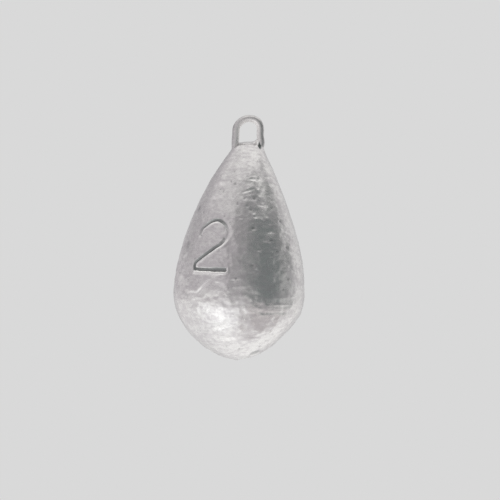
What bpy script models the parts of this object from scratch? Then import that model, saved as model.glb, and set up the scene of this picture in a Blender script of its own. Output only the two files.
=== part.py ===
"""Plumb bob: a cast lead drop that hangs from a wire eye cast into its crown.

Metres, +Z up. The bob is modelled as it hangs. The origin is where the line bears, at the top of
the eye's opening, and the point of the drop is straight below it. The eye lies in the XZ plane, and
the weight mark is on the front, which faces -Y.
"""

import math

import bmesh
import bpy
from mathutils import Vector

MM = 0.001

# ---------------------------------------------------------------- driving dimensions
BODY_DIAMETER = 18.9 * MM
BODY_LENGTH = 31.5 * MM  # point to crown
WIRE_DIAMETER = 1.0 * MM
EYE_OPENING_WIDTH = 2.65 * MM  # between the legs
EYE_OPENING_HEIGHT = 2.85 * MM  # crown to the inside of the arch

# ---------------------------------------------------------------- the drop's outline
WIDEST_HEIGHT = 9.55 * MM  # above the point
SHOULDER_RADIUS = 2.35 * MM  # where the flank meets the domed crown
SHOULDER_DROP = 1.35 * MM  # below the crown
FLANK_ANGLE = math.radians(33.5)  # of the flank at the shoulder, from the axis
FLANK_HANDLE = 6.7 * MM
BELLY_HANDLE_UP = 6.4 * MM
BELLY_HANDLE_DOWN = 4.5 * MM
POINT_HANDLE = 4.75 * MM
POINT_RISE = 0.1  # slope of the blunt point
CROWN_HANDLE = 1.35 * MM
SHOULDER_HANDLE = 0.75 * MM
CROWN_STEPS = 7
FLANK_STEPS = 18
BELLY_STEPS = 18
BODY_SEGMENTS = 64

# ---------------------------------------------------------------- the wire eye
LEG_DEPTH = 6.6 * MM  # of the straight legs in the lead, below the crown
HOOK_BEND_RADIUS = 1.3 * MM  # of the wire's centre line
HOOK_ANGLE = math.radians(65)
HOOK_LENGTH = 1.0 * MM
WIRE_SEAT_GAP = 0.03 * MM  # between the wire and the lead cast round it
ARCH_STEPS = 18
HOOK_STEPS = 5
WIRE_BEVEL_RESOLUTION = 6

# ---------------------------------------------------------------- the weight mark, a numeral 2
MARK_HEIGHT = 16.4 * MM  # of its middle, above the point
MARK_OFFSET = -4.0 * MM  # of its middle, from the axis, seen from the front
MARK_GROOVE_RADIUS = 0.36 * MM
MARK_GROOVE_DEPTH = 0.26 * MM
MARK_STEPS_PER_SPAN = 3
# Each stroke is drawn flat, seen from the front, from the middle of the numeral.
MARK_BOWL = [
    (-1.90, 1.45),
    (-1.40, 2.50),
    (0.35, 3.60),
    (1.75, 2.90),
    (2.15, 1.65),
    (1.30, 0.40),
    (0.05, -0.50),
    (-1.95, -2.10),
    (-2.38, -2.75),
    (-2.40, -3.45),
]
MARK_BASE = [(-2.40, -3.45), (-0.30, -3.42), (1.85, -3.38)]

CROWN_Z = -EYE_OPENING_HEIGHT
POINT_Z = CROWN_Z - BODY_LENGTH
BODY_RADIUS = BODY_DIAMETER / 2
WIRE_RADIUS = WIRE_DIAMETER / 2


# ---------------------------------------------------------------- tools
def clear_scene():
    for obj in list(bpy.data.objects):
        bpy.data.objects.remove(obj)


def new_collection(name, shown):
    collection = bpy.data.collections.new(name)
    bpy.context.scene.collection.children.link(collection)
    collection.hide_render = not shown
    return collection


def metal(name, color, roughness):
    material = bpy.data.materials.new(name)
    material.use_nodes = True
    shader = material.node_tree.nodes["Principled BSDF"]
    shader.inputs["Base Color"].default_value = (*color, 1.0)
    shader.inputs["Metallic"].default_value = 1.0
    shader.inputs["Roughness"].default_value = roughness
    return material


def add_object(name, data, collection, material=None):
    obj = bpy.data.objects.new(name, data)
    collection.objects.link(obj)
    if material:
        data.materials.append(material)
    return obj


def bezier(ends_and_handles, steps):
    """Points from just after the first end to the second end of a cubic curve in the plane."""
    start, out, back, end = (Vector(p) for p in ends_and_handles)
    points = []
    for i in range(1, steps + 1):
        t = i / steps
        u = 1 - t
        points.append(u**3 * start + 3 * u * u * t * out + 3 * u * t * t * back + t**3 * end)
    return points


def catmull_rom(points, steps):
    """A smooth curve through the points, with that many steps between each two."""
    knots = [Vector(p) for p in points]
    knots = [2 * knots[0] - knots[1], *knots, 2 * knots[-1] - knots[-2]]
    curve = []
    for before, start, end, after in zip(knots, knots[1:], knots[2:], knots[3:]):
        for i in range(steps):
            t = i / steps
            curve.append(
                0.5
                * (
                    2 * start
                    + (end - before) * t
                    + (2 * before - 5 * start + 4 * end - after) * t**2
                    + (3 * start - before - 3 * end + after) * t**3
                )
            )
    return [*curve, knots[-2]]


def tube_curve(name, path, radius, bevel_resolution):
    """A capped round tube along the path, as a curve."""
    curve = bpy.data.curves.new(name, "CURVE")
    curve.dimensions = "3D"
    curve.bevel_depth = radius
    curve.bevel_resolution = bevel_resolution
    curve.use_fill_caps = True
    spline = curve.splines.new("POLY")
    spline.points.add(len(path) - 1)
    for point, place in zip(spline.points, path):
        point.co = (*place, 1.0)
    return curve


def closed_mesh_of(obj):
    """The curve object's evaluated tube as a mesh with its caps welded on."""
    bpy.context.view_layer.update()
    graph = bpy.context.evaluated_depsgraph_get()
    mesh = bpy.data.meshes.new_from_object(obj.evaluated_get(graph))
    shape = bmesh.new()
    shape.from_mesh(mesh)
    bmesh.ops.remove_doubles(shape, verts=shape.verts, dist=1e-6)
    bmesh.ops.recalc_face_normals(shape, faces=shape.faces)
    shape.to_mesh(mesh)
    shape.free()
    return mesh


def tube_cutter(name, path, radius, bevel_resolution, collection):
    curve = add_object(name + "_path", tube_curve(name, path, radius, bevel_resolution), collection)
    mesh = closed_mesh_of(curve)
    bpy.data.objects.remove(curve)
    cutter = add_object(name, mesh, collection)
    cutter.hide_render = True
    cutter.display_type = "WIRE"
    return cutter


def cut(obj, cutter):
    modifier = obj.modifiers.new(cutter.name, "BOOLEAN")
    modifier.operation = "DIFFERENCE"
    modifier.solver = "EXACT"
    modifier.object = cutter


# ---------------------------------------------------------------- the drop
def body_outline():
    """(radius, height) down the drop's outer side, from the middle of the crown to the point."""
    crown = Vector((0, CROWN_Z))
    shoulder = Vector((SHOULDER_RADIUS, CROWN_Z - SHOULDER_DROP))
    belly = Vector((BODY_RADIUS, POINT_Z + WIDEST_HEIGHT))
    point = Vector((0, POINT_Z))
    down_flank = Vector((math.sin(FLANK_ANGLE), -math.cos(FLANK_ANGLE)))
    down = Vector((0, -1))
    dome = (
        crown,
        crown + Vector((CROWN_HANDLE, 0)),
        shoulder - down_flank * SHOULDER_HANDLE,
        shoulder,
    )
    flank = (
        shoulder,
        shoulder + down_flank * FLANK_HANDLE,
        belly - down * BELLY_HANDLE_UP,
        belly,
    )
    bottom = (
        belly,
        belly + down * BELLY_HANDLE_DOWN,
        point + Vector((POINT_HANDLE, POINT_HANDLE * POINT_RISE)),
        point,
    )
    return [
        crown,
        *bezier(dome, CROWN_STEPS),
        *bezier(flank, FLANK_STEPS),
        *bezier(bottom, BELLY_STEPS),
    ]


def radius_at(height, outline):
    """The drop's radius at a height, by straight lines between the outline's points."""
    for upper, lower in zip(outline, outline[1:]):
        if lower.y <= height <= upper.y:
            share = (upper.y - height) / (upper.y - lower.y)
            return upper.x + share * (lower.x - upper.x)
    raise ValueError(f"the drop has no radius at {height}")


def make_body(collection, material):
    outline = body_outline()
    profile = bpy.data.meshes.new("lead_body")
    edges = [(i, i + 1) for i in range(len(outline) - 1)]
    profile.from_pydata([(p.x, 0, p.y) for p in outline], edges, [])
    body = add_object("lead_body", profile, collection, material)
    turn = body.modifiers.new("turn", "SCREW")
    turn.axis = "Z"
    turn.steps = BODY_SEGMENTS
    turn.render_steps = BODY_SEGMENTS
    turn.use_merge_vertices = True
    turn.merge_threshold = 1e-6
    turn.use_smooth_shade = True
    # Half a step of turn keeps the drop's edges off the plane of the wire.
    body.rotation_euler.z = math.pi / BODY_SEGMENTS
    return body


# ---------------------------------------------------------------- the wire
def wire_path():
    """The wire's centre line, in the XZ plane: left hook, left leg, arch, right leg, right hook."""
    leg_x = EYE_OPENING_WIDTH / 2 + WIRE_RADIUS
    arch_z = WIRE_RADIUS - leg_x
    leg_end_z = CROWN_Z - LEG_DEPTH
    bend_centre = Vector((leg_x + HOOK_BEND_RADIUS, 0, leg_end_z))
    right_leg = []
    for i in range(HOOK_STEPS + 1):
        angle = HOOK_ANGLE * i / HOOK_STEPS
        out = Vector((-math.cos(angle), 0, -math.sin(angle)))
        right_leg.append(bend_centre + HOOK_BEND_RADIUS * out)
    along_hook = Vector((math.sin(HOOK_ANGLE), 0, -math.cos(HOOK_ANGLE)))
    right_leg.append(right_leg[-1] + HOOK_LENGTH * along_hook)
    arch = []
    for i in range(ARCH_STEPS + 1):
        angle = math.pi * (1 - i / ARCH_STEPS)
        arch.append(Vector((leg_x * math.cos(angle), 0, arch_z + leg_x * math.sin(angle))))
    left_leg = [Vector((-p.x, 0, p.z)) for p in reversed(right_leg)]
    return [*left_leg, *arch, *right_leg]


def make_eye(collection, material):
    curve = tube_curve("wire_eye", wire_path(), WIRE_RADIUS, WIRE_BEVEL_RESOLUTION)
    return add_object("wire_eye", curve, collection, material)


def leg_cutters(collection):
    """One cutter for each leg's seat in the lead. They end in the open, between crown and arch."""
    seat_radius = WIRE_RADIUS + WIRE_SEAT_GAP
    path = wire_path()
    above_crown = CROWN_Z + 0.4 * EYE_OPENING_HEIGHT
    cutters = []
    for side, name in ((-1, "left_leg_seat"), (1, "right_leg_seat")):
        leg = [p for p in path if p.x * side > 0 and p.z < above_crown]
        leg = sorted(leg, key=lambda p: (-p.z, p.x * side))
        top = Vector((leg[0].x, 0, above_crown))
        run = [top, *leg]
        run[-1] = run[-1] + (run[-1] - run[-2]).normalized() * WIRE_SEAT_GAP
        cutters.append(tube_cutter(name, run, seat_radius, WIRE_BEVEL_RESOLUTION, collection))
    return cutters


# ---------------------------------------------------------------- the weight mark
def mark_cutter(name, stroke, collection):
    """A round-bottomed groove along one stroke, drawn from the front and laid on the drop."""
    outline = body_outline()
    lift = MARK_GROOVE_RADIUS - MARK_GROOVE_DEPTH
    run = []
    for flat in catmull_rom(stroke, MARK_STEPS_PER_SPAN):
        x = MARK_OFFSET + flat.x * MM
        z = POINT_Z + MARK_HEIGHT + flat.y * MM
        radius = radius_at(z, outline)
        slope = (radius_at(z + 0.1 * MM, outline) - radius_at(z - 0.1 * MM, outline)) / (0.2 * MM)
        y = -math.sqrt(radius**2 - x**2)
        outward = Vector((x / radius, y / radius, -slope)).normalized()
        run.append(Vector((x, y, z)) + outward * lift)
    return tube_cutter(name, run, MARK_GROOVE_RADIUS, 3, collection)


def main():
    clear_scene()
    bob = new_collection("plumb_bob", shown=True)
    cutters = new_collection("cutters", shown=False)
    lead = metal("cast_lead", (0.60, 0.59, 0.59), 0.38)
    tinned_wire = metal("tinned_wire", (0.66, 0.65, 0.66), 0.28)

    body = make_body(bob, lead)
    make_eye(bob, tinned_wire)
    for cutter in leg_cutters(cutters):
        cut(body, cutter)
    cut(body, mark_cutter("mark_bowl", MARK_BOWL, cutters))
    cut(body, mark_cutter("mark_base", MARK_BASE, cutters))


main()
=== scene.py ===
"""The looks of a small cast lead plumb bob: a drop of soft grey lead with a bright wire eye in its crown.

The bob hangs with its origin where the line bears, +Z up. Its front faces -Y and carries the weight
numeral. Azimuths are degrees round the bob from its front towards +X, heights are above its point.
"""

import math
import random

import bmesh
import bpy
import numpy as np
from bpy.props import FloatProperty, FloatVectorProperty, IntProperty, PointerProperty
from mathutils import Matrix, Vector, noise


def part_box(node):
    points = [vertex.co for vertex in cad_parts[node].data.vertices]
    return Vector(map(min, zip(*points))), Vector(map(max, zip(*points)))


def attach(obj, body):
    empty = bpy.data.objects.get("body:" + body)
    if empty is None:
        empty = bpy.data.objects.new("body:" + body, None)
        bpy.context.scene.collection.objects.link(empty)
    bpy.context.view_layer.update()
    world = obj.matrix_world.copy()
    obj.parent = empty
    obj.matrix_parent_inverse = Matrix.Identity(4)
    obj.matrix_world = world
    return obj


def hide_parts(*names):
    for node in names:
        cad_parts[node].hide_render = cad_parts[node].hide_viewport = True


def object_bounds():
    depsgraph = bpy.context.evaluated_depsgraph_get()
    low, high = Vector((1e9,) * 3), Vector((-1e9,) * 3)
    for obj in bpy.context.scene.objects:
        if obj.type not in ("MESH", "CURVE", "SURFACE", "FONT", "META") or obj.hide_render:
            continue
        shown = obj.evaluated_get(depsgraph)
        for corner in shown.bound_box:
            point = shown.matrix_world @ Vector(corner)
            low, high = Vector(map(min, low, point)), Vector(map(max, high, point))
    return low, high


bl_info = {
    "name": "Plumb Bob",
    "version": (1, 0, 0),
    "blender": (4, 5, 0),
    "location": "3D View > Sidebar > Plumb Bob",
    "description": "Builds a cast lead plumb bob with a wire eye, and a plain studio to see it in",
    "category": "Object",
}

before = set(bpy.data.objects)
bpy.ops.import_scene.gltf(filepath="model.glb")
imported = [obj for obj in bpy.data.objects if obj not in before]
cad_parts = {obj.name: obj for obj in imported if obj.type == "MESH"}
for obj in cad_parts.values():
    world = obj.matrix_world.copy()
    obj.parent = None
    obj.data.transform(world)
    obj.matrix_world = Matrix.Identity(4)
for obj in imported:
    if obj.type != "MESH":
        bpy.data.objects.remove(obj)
CAD_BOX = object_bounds()
DROP_LOW, DROP_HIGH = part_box("lead_body")
EYE_LOW, EYE_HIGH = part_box("wire_eye")

MM = 0.001
POINT_Z = DROP_LOW.z
CROWN_Z = DROP_HIGH.z
DROP_LENGTH = CROWN_Z - POINT_Z
DROP_RADIUS = (DROP_HIGH.x - DROP_LOW.x) / 2
WIRE_RADIUS = (EYE_HIGH.y - EYE_LOW.y) / 2


# ---------------------------------------------------------------- settings
class DropSettings(bpy.types.PropertyGroup):
    """Sizes and colours of the cast lead drop"""

    radius: FloatProperty(
        name="Radius",
        description="Of the drop at its widest",
        default=DROP_RADIUS,
        unit="LENGTH",
    )
    length: FloatProperty(
        name="Length",
        description="From the point to the crown",
        default=DROP_LENGTH,
        unit="LENGTH",
    )
    rings: IntProperty(
        name="Rings",
        description="Rings of faces between the crown and the point",
        default=322,
    )
    slices: IntProperty(
        name="Slices",
        description="Faces in each ring",
        default=290,
    )
    mark_width: FloatProperty(
        name="Mark width",
        description="Of the numeral's groove",
        default=0.52 * MM,
        unit="LENGTH",
    )
    mark_depth: FloatProperty(
        name="Mark depth",
        description="Of the numeral's groove",
        default=0.24 * MM,
        unit="LENGTH",
    )
    waviness: FloatProperty(
        name="Waviness",
        description="Height of the casting's shallow waves",
        default=0.07 * MM,
        unit="LENGTH",
    )
    seam_height: FloatProperty(
        name="Seam height",
        description="Of the line left where the two halves of the mould met",
        default=0.045 * MM,
        unit="LENGTH",
    )
    lead_color: FloatVectorProperty(
        name="Lead",
        description="Clean cast lead",
        default=(0.72, 0.715, 0.71),
        subtype="COLOR",
        min=0,
        max=1,
    )
    oxide_color: FloatVectorProperty(
        name="Oxide",
        description="The thin grey film on lead that has stood in air",
        default=(0.60, 0.585, 0.595),
        subtype="COLOR",
        min=0,
        max=1,
    )
    # Also the painted highlight along the open side of the numeral's groove
    rubbed_and_sheen_color: FloatVectorProperty(
        name="Rubbed",
        description="Lead rubbed bright",
        default=(0.93, 0.925, 0.915),
        subtype="COLOR",
        min=0,
        max=1,
    )
    # Also the painted shade in the numeral's groove, darkest up its steep side, and in the hollow at the
    # foot of the right leg
    grime_and_shade_color: FloatVectorProperty(
        name="Grime",
        description="Dark oxide in hollows that nothing rubs",
        default=(0.15, 0.165, 0.165),
        subtype="COLOR",
        min=0,
        max=1,
    )


class EyeSettings(bpy.types.PropertyGroup):
    """Sizes and colours of the wire eye"""

    wire_radius: FloatProperty(
        name="Wire radius",
        description="Of the round wire",
        default=WIRE_RADIUS * 1.05,
        unit="LENGTH",
    )
    shift: FloatProperty(
        name="Shift",
        description="How far the eye stands to the right of the drop's axis",
        default=0.27 * MM,
        unit="LENGTH",
    )
    leg_reach: FloatProperty(
        name="Leg reach",
        description="From the middle of the eye to the middle of each leg",
        default=1.76 * MM,
        unit="LENGTH",
    )
    wire_color: FloatVectorProperty(
        name="Wire",
        description="Bright tinned wire",
        default=(0.62, 0.61, 0.61),
        subtype="COLOR",
        min=0,
        max=1,
    )
    # Also the painted sheen on every side of the wire that faces into the eye
    worn_and_sheen_color: FloatVectorProperty(
        name="Worn",
        description="Wire rubbed pale and dull by the line on the inside of the eye",
        default=(0.90, 0.885, 0.875),
        subtype="COLOR",
        min=0,
        max=1,
    )
    film_color: FloatVectorProperty(
        name="Film",
        description="Dulled tin",
        default=(0.48, 0.475, 0.48),
        subtype="COLOR",
        min=0,
        max=1,
    )


class StudioSettings(bpy.types.PropertyGroup):
    """The plain pale studio and its camera"""

    backdrop_color: FloatVectorProperty(
        name="Backdrop",
        description="Of the floor and of everything behind it",
        default=(0.694, 0.694, 0.694),
        subtype="COLOR",
        min=0,
        max=1,
    )
    floor_drop: FloatProperty(
        name="Floor drop",
        description="How far the floor lies below the bob's point",
        default=0.2,
        unit="LENGTH",
    )
    view_height: FloatProperty(
        name="View height",
        description="Height of what the camera takes in at the bob",
        default=72.05 * MM,
        unit="LENGTH",
    )
    lean: FloatProperty(
        name="Lean",
        description="How far the bob's axis leans to the right in the view",
        default=math.radians(2.5),
        subtype="ANGLE",
    )
    lamp_power: FloatProperty(
        name="Lamp power",
        description="Of the low softbox on the left",
        default=0.011,
        unit="POWER",
    )


# ---------------------------------------------------------------- curves in the plane and in space
def bezier(start, out, back, end, steps):
    """Points of a cubic curve from start to end, both included."""
    points = []
    for i in range(steps + 1):
        t = i / steps
        u = 1 - t
        points.append(
            u**3 * Vector(start)
            + 3 * u * u * t * Vector(out)
            + 3 * u * t * t * Vector(back)
            + t**3 * Vector(end)
        )
    return points


def catmull_rom(points, steps):
    """A smooth curve through the points, with that many steps between each two."""
    knots = [Vector(p) for p in points]
    knots = [2 * knots[0] - knots[1], *knots, 2 * knots[-1] - knots[-2]]
    curve = []
    for before, start, end, after in zip(knots, knots[1:], knots[2:], knots[3:]):
        for i in range(steps):
            t = i / steps
            curve.append(
                0.5
                * (
                    2 * start
                    + (end - before) * t
                    + (2 * before - 5 * start + 4 * end - after) * t**2
                    + (3 * start - before - 3 * end + after) * t**3
                )
            )
    return [*curve, knots[-2]]


def smoothstep(low, high, value):
    t = np.clip((value - low) / (high - low), 0, 1)
    return t * t * (3 - 2 * t)


def bump_at(value, centre, width):
    """1 at the centre, falling away evenly on both sides."""
    return np.exp(-(((value - centre) / width) ** 2))


def band(value, begins, full, fades, ends):
    """1 from full to fades, falling smoothly to 0 at begins and at ends."""
    return smoothstep(begins, full, value) * smoothstep(ends, fades, value)


def spread(places, density, count):
    """That many steps along the places, short where the density is high."""
    steps = (density[1:] + density[:-1]) / 2 * np.diff(places)
    reached = np.concatenate([[0], np.cumsum(steps)])
    return np.interp(np.linspace(0, reached[-1], count + 1), reached, places)


# ---------------------------------------------------------------- the drop's plain form
# Radius and height above the point, in millimetres, of the curves that make the outline.
WIDEST = (9.45, 9.55)
SHOULDER = (2.35, 30.15)
POINT_CURVE = [(0, 0), (4.75, 0.475), (9.45, 5.05), WIDEST]
FLANK_CURVE = [WIDEST, (9.45, 15.95), (6.05, 24.56), SHOULDER]
CROWN_CURVE = [SHOULDER, (1.94, 30.78), (1.35, 31.5), (0, 31.5)]
OUTLINE_STEPS = 160
# Where the faces lie closer together: how much closer, and where that begins, is full, fades and
# ends. Rings go by millimetres above the point, slices by degrees of azimuth.
CLOSE_RINGS = {
    "numeral": (1.2, 11.2, 12.2, 20.2, 21.2),
    "crown": (1.6, 28.6, 30.0, 32.0, 33.0),
    "point": (0.5, -2.0, -1.0, 1.0, 3.0),
}
CLOSE_SLICES = {
    "front": (0.5, -105, -80, 80, 105),
    "numeral": (2.6, -62, -50, -10, -2),
}
AZIMUTH_STEPS = 720  # at which the closeness of the slices is worked out


def drop_outline(settings):
    """Radii and heights above the point, from the point to the crown, in metres."""
    curves = [bezier(*c, OUTLINE_STEPS) for c in (POINT_CURVE, FLANK_CURVE, CROWN_CURVE)]
    points = [*curves[0], *curves[1][1:], *curves[2][1:]]
    radii = np.array([p.x for p in points]) * settings.radius / WIDEST[0]
    heights = np.array([p.y for p in points]) * settings.length / CROWN_CURVE[-1][1]
    return radii, heights


def closeness(places, bands):
    """How close together the faces lie at each place: 1, and more within the bands."""
    return 1 + sum(more * band(places, *edges) for more, *edges in bands.values())


class PlainDrop:
    """The turned form before it is marked: a grid of points with their outward normals."""

    def __init__(self, settings):
        self.outline = drop_outline(settings)
        radii, heights = self.outline
        run = np.concatenate([[0], np.cumsum(np.hypot(np.diff(radii), np.diff(heights)))])
        rows = spread(run, closeness(heights / MM, CLOSE_RINGS), settings.rings)[1:-1]
        degrees = np.linspace(-180, 180, AZIMUTH_STEPS + 1)
        columns = spread(degrees, closeness(degrees, CLOSE_SLICES), settings.slices)[:-1]
        around = np.radians(columns)
        ring_radii = np.interp(rows, run, radii)
        ring_heights = np.interp(rows, run, heights)
        lean_out = np.gradient(ring_radii, rows)
        rise = np.gradient(ring_heights, rows)
        length = np.hypot(lean_out, rise)
        self.azimuth = np.tile(around, (len(rows), 1))
        self.height = np.tile(ring_heights[:, None], (1, len(around)))
        radius = np.tile(ring_radii[:, None], (1, len(around)))
        outward = (rise / length)[:, None] * np.ones_like(self.azimuth)
        upward = (-lean_out / length)[:, None] * np.ones_like(self.azimuth)
        side, front = np.sin(self.azimuth), -np.cos(self.azimuth)
        self.normal = np.stack([outward * side, outward * front, upward], -1)
        self.place = np.stack([radius * side, radius * front, POINT_Z + self.height], -1)

    def radius_at(self, height):
        radii, heights = self.outline
        return float(np.interp(height, heights, radii))

    def on_front(self, across, height):
        """The point of the front seen at that distance from the axis and height above the point."""
        radius = self.radius_at(height)
        return np.array([across, -math.sqrt(radius**2 - across**2), POINT_Z + height])

    def at(self, azimuth, height):
        """The point at that azimuth in degrees and height above the point."""
        radius, turn = self.radius_at(height), math.radians(azimuth)
        side, front = radius * math.sin(turn), -radius * math.cos(turn)
        return np.array([side, front, POINT_Z + height])


# ---------------------------------------------------------------- marks on the drop
MARK_MIDDLE = (-4.0, 16.4)  # of the numeral, from the axis and above the point, in millimetres
MARK_AZIMUTHS = (-75, 12)  # between which it lies with its lip, in degrees
MARK_HEIGHTS = (11, 22)  # the same, in millimetres
# Points on the numeral's two strokes, from its middle, in millimetres.
BOWL_POINTS = [
    (-1.90, 1.45),
    (-1.40, 2.50),
    (0.35, 3.60),
    (1.75, 2.90),
    (2.15, 1.65),
    (1.30, 0.40),
    (0.05, -0.50),
    (-1.95, -2.10),
    (-2.38, -2.75),
    (-2.40, -3.45),
]
BASE_POINTS = [(-2.40, -3.45), (-0.30, -3.42), (1.85, -3.38)]
# For each stroke: its points, how bright the painted highlight along its open side is, how much wider it
# ends, and where it is shallow (how far along, over what share of the stroke, and how much of the groove
# is missing).
MARK_STROKES = [
    (BOWL_POINTS, 1.0, 0.0, [(0.0, 0.12, 0.6), (0.44, 0.11, 0.88)]),
    (BASE_POINTS, 0.6, 0.5, []),
]
MARK_STEPS = 8
WIDENS_ALONG = (0.45, 0.70)  # of a stroke that ends wider
LEAN_TOWARDS = np.array([0.80, 0.0, -0.60])  # the punch leaned, so its groove opens on this side
OPEN_WIDTH = 0.46 * MM  # of the gentle side of the groove
OPEN_DEPTH = 0.8  # of the gentle side, as a share of the mark's depth
LIP_HEIGHT = 0.09 * MM  # of the lead pushed up beyond it
LIP_WIDTH = 0.26 * MM
GROOVE_ROUNDNESS = 1.2
OPEN_FACING = (-0.1, 0.6)  # how much a side faces that way, from plainly steep to fully open
DARK_REACHES = (1.35, 0.60)  # of the groove's oxide and painted shade, on the steep and on the open side, in half widths of the groove
DARK_CORE = 0.45  # share of that reach which is fully dark
LIP_CLEARS = (0.1, 0.5)  # darkness of the groove over which the lip gives way to it
# How dark the groove is made: oxide in it, and painted shade that reaches further up its steep side
MARK_GRIME_AND_SHADE = 0.78


def nearest_on_run(places, run):
    """For each place, how far the run of points is, which way it lies from the run, and how far along."""
    start, end = run[:-1], run[1:]
    along = end - start
    squared = (along**2).sum(-1)
    offset = places[..., None, :] - start
    share = np.clip((offset * along).sum(-1) / squared, 0, 1)
    apart = offset - share[..., None] * along
    distance = np.sqrt((apart**2).sum(-1))
    best = distance.argmin(-1)
    pick = best[..., None]
    nearest = np.take_along_axis(distance, pick, -1)[..., 0]
    away = np.take_along_axis(apart, pick[..., None], -2)[..., 0, :]
    progress = (best + np.take_along_axis(share, pick, -1)[..., 0]) / len(along)
    return nearest, away, progress


def press_mark(drop, settings, lift, grime_and_shade, rub_and_sheen):
    """Sinks the numeral's groove into the front, steep on one side and open on the other: painted shade
    darkens the groove over its oxide, reaching furthest up the steep side, and a painted highlight lies
    along the open side.
    """
    left, right = np.radians(MARK_AZIMUTHS)
    low, high = np.array(MARK_HEIGHTS) * MM
    near = (drop.azimuth > left) & (drop.azimuth < right)
    near &= (drop.height > low) & (drop.height < high)
    places = drop.place[near]
    deepest = np.zeros(len(places))
    dark = np.zeros(len(places))
    lip = np.zeros(len(places))
    open_side_highlight = np.zeros(len(places))
    for points, open_highlight, widening, shallows in MARK_STROKES:
        run = np.array(
            [
                drop.on_front((MARK_MIDDLE[0] + p.x) * MM, (MARK_MIDDLE[1] + p.y) * MM)
                for p in catmull_rom(points, MARK_STEPS)
            ]
        )
        distance, away, progress = nearest_on_run(places, run)
        full = 1 - sum(lost * bump_at(progress, along, share) for along, share, lost in shallows)
        half = settings.mark_width / 2 * (1 + widening * smoothstep(*WIDENS_ALONG, progress))
        groove = np.clip(1 - (distance / half) ** 2, 0, 1) ** GROOVE_ROUNDNESS * full
        facing = (away @ LEAN_TOWARDS) / np.maximum(distance, 1e-9)
        side = smoothstep(*OPEN_FACING, facing)
        ramp = np.clip(1 - distance / OPEN_WIDTH, 0, 1) * side * full
        deepest = np.maximum(deepest, np.maximum(groove, OPEN_DEPTH * ramp))
        # Painted shade: the groove is darkened further up its steep side than its open side, over the
        # oxide in it
        reach = half * (DARK_REACHES[0] * (1 - side) + DARK_REACHES[1] * side)
        dark = np.maximum(dark, smoothstep(reach, DARK_CORE * reach, distance) * full)
        lip = np.maximum(lip, bump_at(distance, OPEN_WIDTH, LIP_WIDTH) * side * full)
        # A painted highlight along the open side, out to the lip
        open_side = side * full * smoothstep(OPEN_WIDTH + LIP_WIDTH, OPEN_WIDTH, distance)
        open_side_highlight = np.maximum(open_side_highlight, open_highlight * open_side)
    lip = lip * (1 - smoothstep(*LIP_CLEARS, dark))
    lift[near] += LIP_HEIGHT * lip - settings.mark_depth * deepest
    grime_and_shade[near] = np.maximum(grime_and_shade[near], MARK_GRIME_AND_SHADE * dark)
    rub_and_sheen[near] = np.maximum(rub_and_sheen[near], open_side_highlight * (1 - dark))


# Azimuth, height, radius and depth of single hollows (a blister has a negative depth), in degrees
# and millimetres.
HOLLOWS = [
    (15, 23.2, 0.38, 0.060),
    (10, 21.6, 0.36, 0.055),
    (14, 20.9, 0.24, -0.060),
    (15, 20.3, 0.20, -0.045),
    (12, 19.0, 0.44, 0.070),
    (11, 13.8, 0.32, 0.060),
    (15, 13.4, 0.22, -0.050),
    (21.5, 6.9, 0.20, -0.100),
    (3.5, 4.7, 0.18, -0.070),
    (-22, 4.5, 0.16, 0.040),
    (-68, 21.6, 0.80, 0.090),
    (-63, 16.3, 1.00, 0.080),
    (31, 17.4, 0.30, 0.050),
    (38, 21.9, 0.26, 0.045),
    (47, 12.1, 0.35, 0.050),
    (-3, 11.9, 0.28, 0.050),
    (24, 26.1, 0.30, 0.040),
    (-14, 25.2, 0.32, 0.040),
    (22, 24.4, 0.30, -0.050),
    (44, 12.9, 0.24, -0.045),
    (41, 10.6, 0.26, 0.045),
    (150, 12.6, 0.40, 0.070),
    (168, 20.3, 0.34, 0.080),
    (-138, 8.4, 0.45, 0.060),
    (-105, 13.7, 0.38, 0.060),
    (96, 7.1, 0.42, 0.055),
]
# Scuffs: azimuth and height of both ends, half width and depth, in degrees and millimetres.
SCUFFS = [
    (-41, 9.2, -27, 11.4, 0.16, 0.055),
    (-52, 9.5, -37, 9.6, 0.14, 0.065),
    (-44, 8.5, -30, 8.9, 0.12, 0.040),
    (-9, 11.5, 1, 11.7, 0.13, 0.060),
    (-22, 11.2, -12, 10.9, 0.12, 0.040),
    (-6, 10.4, 6, 10.6, 0.11, 0.035),
    (26, 9.0, 58, 9.3, 0.11, 0.040),
    (28, 8.1, 60, 8.3, 0.12, 0.050),
    (24, 7.3, 52, 7.4, 0.13, 0.050),
    (8, 7.6, 22, 7.5, 0.12, 0.045),
    (-2, 24.0, 16, 24.6, 0.13, 0.045),
    (4, 25.9, 22, 26.0, 0.12, 0.035),
    (-52, 25.0, -20, 25.3, 0.12, 0.018),
    (-48, 23.0, -26, 23.4, 0.12, 0.018),
    (-66, 14.2, -58, 15.1, 0.13, 0.050),
    (-30, 4.4, -8, 5.3, 0.12, 0.030),
    (-22, 3.1, 6, 3.6, 0.11, 0.025),
    (122, 15.2, 140, 18.8, 0.11, 0.045),
    (-160, 14.1, -148, 17.2, 0.12, 0.045),
    (-176, 9.9, -156, 10.3, 0.11, 0.035),
    (84, 11.0, 97, 14.1, 0.10, 0.035),
]
HOLLOW_REACH = 3  # radii from its middle at which a hollow stops changing the surface
HOLLOW_STEEPNESS = 1.6
HOLLOW_STAIN = 5.0  # how fast the stain grows with the depth of a hollow against its radius
MOST_STAIN = 0.8
LOOSE_PITS = 150
LOOSE_PIT_SEED = 11
LOOSE_PIT_HEIGHTS = (1.5, 30)  # in millimetres, as the radii
LOOSE_PIT_RADII = (0.11, 0.26)
LOOSE_PIT_DEPTHS = (0.12, 0.3)  # as shares of the radius
LOOSE_PIT_STAIN = 2.4
SCUFF_POINTS = 9
SCUFF_MARGIN = 0.5 * MM  # past a scuff's ends and sides, where it stops changing the surface
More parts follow.
